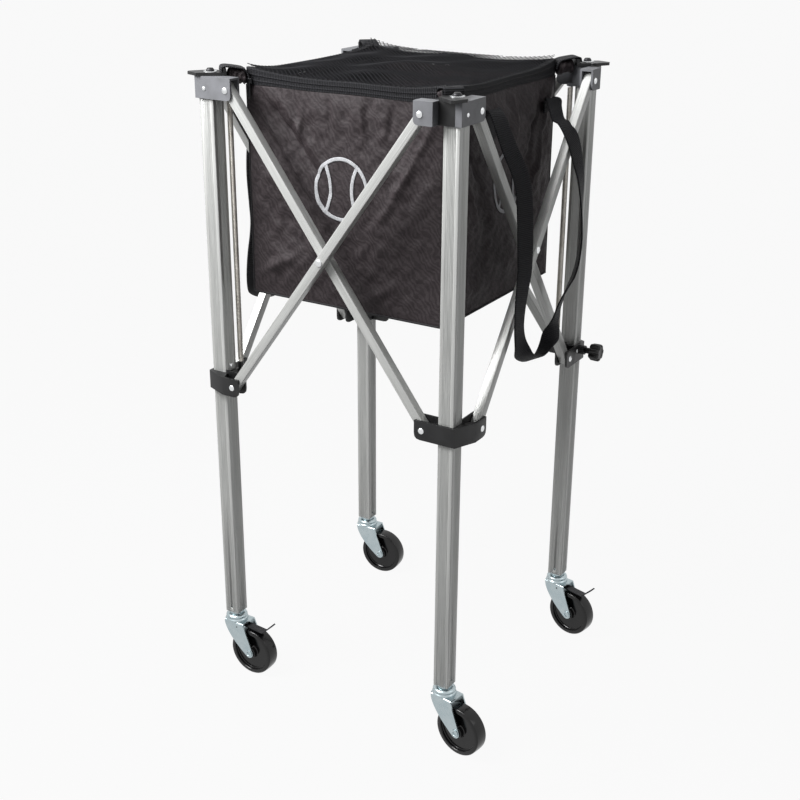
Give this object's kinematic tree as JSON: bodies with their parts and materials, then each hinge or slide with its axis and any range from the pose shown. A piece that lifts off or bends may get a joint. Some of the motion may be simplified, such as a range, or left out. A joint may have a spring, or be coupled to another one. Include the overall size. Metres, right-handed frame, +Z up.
{
  "type": "folding ball cart",
  "caption": "Folding cart with square metal legs on swivel casters, crossed bars on each side and a fabric bag hung from the corners, with a mesh lid and two carrying straps.",
  "frame": {"origin": "on the floor, under the middle of the whole bounding box", "axes": "+Z up; +X to the cart's right as the picture shows it, the side with the clamp knob; +Y to its back"},
  "size_m": [0.4978, 0.4366, 0.9363],
  "materials": {
    "anodised": "silver anodised, drawn along its length",
    "zinc": "bright zinc plate",
    "grey_nylon": "satin moulded nylon",
    "black_nylon": "satin moulded nylon",
    "wheel_plastic": "moulded, slightly glossy",
    "black_steel": "blackened pressed steel",
    "spring_steel": "oiled wire",
    "bag_fabric": "coated woven polyester",
    "lid_mesh": "open knitted mesh",
    "webbing": "woven webbing"
  },
  "bodies": {
    "leg_front_right": {"leg_front_right": "anodised", "bracket_front_right": "grey_nylon", "hook_front_right": "black_nylon", "stem_front_right": "zinc", "spring_front_right": "spring_steel"},
    "leg_back_right": {"leg_back_right": "anodised", "bracket_back_right": "grey_nylon", "hook_back_right": "black_nylon", "stem_back_right": "zinc", "spring_back_right": "spring_steel"},
    "leg_back_left": {"leg_back_left": "anodised", "bracket_back_left": "grey_nylon", "hook_back_left": "black_nylon", "stem_back_left": "zinc", "spring_back_left": "spring_steel"},
    "leg_front_left": {"leg_front_left": "anodised", "bracket_front_left": "grey_nylon", "hook_front_left": "black_nylon", "stem_front_left": "zinc", "spring_front_left": "spring_steel"},
    "slider_front_right": {"slider_front_right": "black_nylon"},
    "slider_back_right": {"slider_back_right": "black_nylon"},
    "slider_back_left": {"slider_back_left": "black_nylon"},
    "slider_front_left": {"slider_front_left": "black_nylon"},
    "bar_inner_right": {"bar_inner_right": "anodised"},
    "bar_outer_right": {"bar_outer_right": "anodised"},
    "bar_inner_back": {"bar_inner_back": "anodised"},
    "bar_outer_back": {"bar_outer_back": "anodised"},
    "bar_inner_left": {"bar_inner_left": "anodised"},
    "bar_outer_left": {"bar_outer_left": "anodised"},
    "bar_inner_front": {"bar_inner_front": "anodised"},
    "bar_outer_front": {"bar_outer_front": "anodised"},
    "caster_front_right": {"fork_front_right": "zinc", "axle_front_right": "zinc"},
    "wheel_front_right": {"wheel_front_right": "wheel_plastic"},
    "caster_back_right": {"fork_back_right": "zinc", "axle_back_right": "zinc"},
    "wheel_back_right": {"wheel_back_right": "wheel_plastic"},
    "caster_back_left": {"fork_back_left": "zinc", "axle_back_left": "zinc"},
    "wheel_back_left": {"wheel_back_left": "wheel_plastic"},
    "caster_front_left": {"fork_front_left": "zinc", "axle_front_left": "zinc"},
    "wheel_front_left": {"wheel_front_left": "wheel_plastic"},
    "brake_back_right": {"brake_back_right": "black_steel"},
    "brake_front_left": {"brake_front_left": "black_steel"},
    "clamp_knob": {"clamp_knob": "black_nylon"},
    "bag": {"bag_wall_right": "bag_fabric", "bag_wall_back": "bag_fabric", "bag_wall_left": "bag_fabric", "bag_wall_front": "bag_fabric", "bag_base": "bag_fabric", "bag_band": "webbing", "mesh_lid": "lid_mesh", "strap_right": "webbing", "strap_left": "webbing"},
    "zip": {"zip_slider": "black_nylon"}
  },
  "joints": [
    {"name": "fold", "type": "hinge", "parent": "leg_front_right", "child": "bar_inner_right", "pos_m": [0.18352, -0.15225, 0.9015], "axis": [-1, 0, 0], "range_deg": [0, 33.5], "deforming": ["bag_wall_right", "bag_wall_back", "bag_wall_left", "bag_wall_front", "bag_base", "bag_band", "mesh_lid", "strap_right", "strap_left", "spring_front_right", "spring_back_right", "spring_back_left", "spring_front_left"]},
    {"name": "crossing_right", "type": "hinge", "parent": "bar_inner_right", "child": "bar_outer_right", "pos_m": [0.19712, 0, 0.695], "axis": [1, 0, 0], "range_deg": [0, 67]},
    {"name": "leg_back_right_pivot", "type": "hinge", "parent": "bar_outer_right", "child": "leg_back_right", "pos_m": [0.19712, 0.15225, 0.9015], "axis": [-1, 0, 0], "range_deg": [0, 33.5]},
    {"name": "slider_back_right_pivot", "type": "hinge", "parent": "bar_inner_right", "child": "slider_back_right", "pos_m": [0.18352, 0.15225, 0.4885], "axis": [1, 0, 0], "range_deg": [0, 33.5]},
    {"name": "slider_front_right_pivot", "type": "hinge", "parent": "bar_outer_right", "child": "slider_front_right", "pos_m": [0.19712, -0.15225, 0.4885], "axis": [-1, 0, 0], "range_deg": [0, 33.5]},
    {"name": "bar_inner_back_pivot", "type": "hinge", "parent": "leg_back_right", "child": "bar_inner_back", "pos_m": [0.14333, 0.19245, 0.9015], "axis": [0, -1, 0], "range_deg": [0, 33.5]},
    {"name": "crossing_back", "type": "hinge", "parent": "bar_inner_back", "child": "bar_outer_back", "pos_m": [-0.00893, 0.20605, 0.695], "axis": [0, 1, 0], "range_deg": [0, 67]},
    {"name": "leg_back_left_pivot", "type": "hinge", "parent": "bar_outer_back", "child": "leg_back_left", "pos_m": [-0.16118, 0.20605, 0.9015], "axis": [0, -1, 0], "range_deg": [0, 33.5]},
    {"name": "slider_back_left_pivot", "type": "hinge", "parent": "bar_inner_back", "child": "slider_back_left", "pos_m": [-0.16118, 0.19245, 0.4885], "axis": [0, 1, 0], "range_deg": [0, 33.5]},
    {"name": "bar_outer_front_pivot", "type": "hinge", "parent": "leg_front_right", "child": "bar_outer_front", "pos_m": [0.14333, -0.20605, 0.9015], "axis": [0, -1, 0], "range_deg": [0, 33.5]},
    {"name": "crossing_front", "type": "hinge", "parent": "bar_outer_front", "child": "bar_inner_front", "pos_m": [-0.00893, -0.20605, 0.695], "axis": [0, 1, 0], "range_deg": [0, 67]},
    {"name": "leg_front_left_pivot", "type": "hinge", "parent": "bar_inner_front", "child": "leg_front_left", "pos_m": [-0.16118, -0.19245, 0.9015], "axis": [0, -1, 0], "range_deg": [0, 33.5]},
    {"name": "slider_front_left_pivot", "type": "hinge", "parent": "bar_outer_front", "child": "slider_front_left", "pos_m": [-0.16118, -0.20605, 0.4885], "axis": [0, 1, 0], "range_deg": [0, 33.5]},
    {"name": "bar_outer_left_pivot", "type": "hinge", "parent": "leg_front_left", "child": "bar_outer_left", "pos_m": [-0.21497, -0.15225, 0.9015], "axis": [-1, 0, 0], "range_deg": [0, 33.5]},
    {"name": "crossing_left", "type": "hinge", "parent": "bar_outer_left", "child": "bar_inner_left", "pos_m": [-0.21497, 0, 0.695], "axis": [1, 0, 0], "range_deg": [0, 67]},
    {"name": "bag_gather", "type": "slide", "parent": "leg_front_right", "child": "bag", "axis": [0.7071, -0.7071, 0], "range_m": [0, 0.1975]},
    {"name": "swivel_front_right", "type": "hinge", "parent": "leg_front_right", "child": "caster_front_right", "pos_m": [0.17833, -0.18725, 0.1], "axis": [0, 0, 1], "continuous": true},
    {"name": "wheel_spin_front_right", "type": "hinge", "parent": "caster_front_right", "child": "wheel_front_right", "pos_m": [0.21058, -0.19265, 0.0375], "axis": [0.165, 0.9863, 0], "continuous": true},
    {"name": "swivel_back_right", "type": "hinge", "parent": "leg_back_right", "child": "caster_back_right", "pos_m": [0.17833, 0.18725, 0.1], "axis": [0, 0, 1], "continuous": true},
    {"name": "wheel_spin_back_right", "type": "hinge", "parent": "caster_back_right", "child": "wheel_back_right", "pos_m": [0.21049, 0.18135, 0.0375], "axis": [0.1805, 0.9836, 0], "continuous": true},
    {"name": "swivel_back_left", "type": "hinge", "parent": "leg_back_left", "child": "caster_back_left", "pos_m": [-0.19617, 0.18725, 0.1], "axis": [0, 0, 1], "continuous": true},
    {"name": "wheel_spin_back_left", "type": "hinge", "parent": "caster_back_left", "child": "wheel_back_left", "pos_m": [-0.16353, 0.18919, 0.0375], "axis": [-0.0593, 0.9982, 0], "continuous": true},
    {"name": "swivel_front_left", "type": "hinge", "parent": "leg_front_left", "child": "caster_front_left", "pos_m": [-0.19617, -0.18725, 0.1], "axis": [0, 0, 1], "continuous": true},
    {"name": "wheel_spin_front_left", "type": "hinge", "parent": "caster_front_left", "child": "wheel_front_left", "pos_m": [-0.16348, -0.18754, 0.0375], "axis": [0.0087, 1, 0], "continuous": true},
    {"name": "brake_back_right", "type": "hinge", "parent": "caster_back_right", "child": "brake_back_right", "pos_m": [0.18914, 0.18526, 0.0785], "axis": [0.1805, 0.9836, 0], "range_deg": [0, 3.5]},
    {"name": "brake_front_left", "type": "hinge", "parent": "caster_front_left", "child": "brake_front_left", "pos_m": [-0.18518, -0.18735, 0.0785], "axis": [0.0087, 1, 0], "range_deg": [0, 3.5]},
    {"name": "clamp_turn", "type": "hinge", "parent": "slider_back_right", "child": "clamp_knob", "pos_m": [0.17833, 0.18725, 0.4935], "axis": [1, 0, 0], "range_deg": [0, 360]},
    {"name": "zip_slide", "type": "slide", "parent": "leg_front_left", "child": "zip", "axis": [1, 0, 0], "range_m": [0, 0.292]}
  ],
  "couplings": [
    {"joint": "crossing_right", "follows": "fold", "ratio": 2},
    {"joint": "leg_back_right_pivot", "follows": "fold", "ratio": 1},
    {"joint": "slider_back_right_pivot", "follows": "fold", "ratio": 1},
    {"joint": "slider_front_right_pivot", "follows": "fold", "ratio": 1},
    {"joint": "bar_inner_back_pivot", "follows": "fold", "ratio": 1},
    {"joint": "crossing_back", "follows": "fold", "ratio": 2},
    {"joint": "leg_back_left_pivot", "follows": "fold", "ratio": 1},
    {"joint": "slider_back_left_pivot", "follows": "fold", "ratio": 1},
    {"joint": "bar_outer_front_pivot", "follows": "fold", "ratio": 1},
    {"joint": "crossing_front", "follows": "fold", "ratio": 2},
    {"joint": "leg_front_left_pivot", "follows": "fold", "ratio": 1},
    {"joint": "slider_front_left_pivot", "follows": "fold", "ratio": 1},
    {"joint": "bar_outer_left_pivot", "follows": "fold", "ratio": 1},
    {"joint": "crossing_left", "follows": "fold", "ratio": 2},
    {"joint": "bag_gather", "follows": "fold", "m_per_rad": 0.33685}
  ]
}
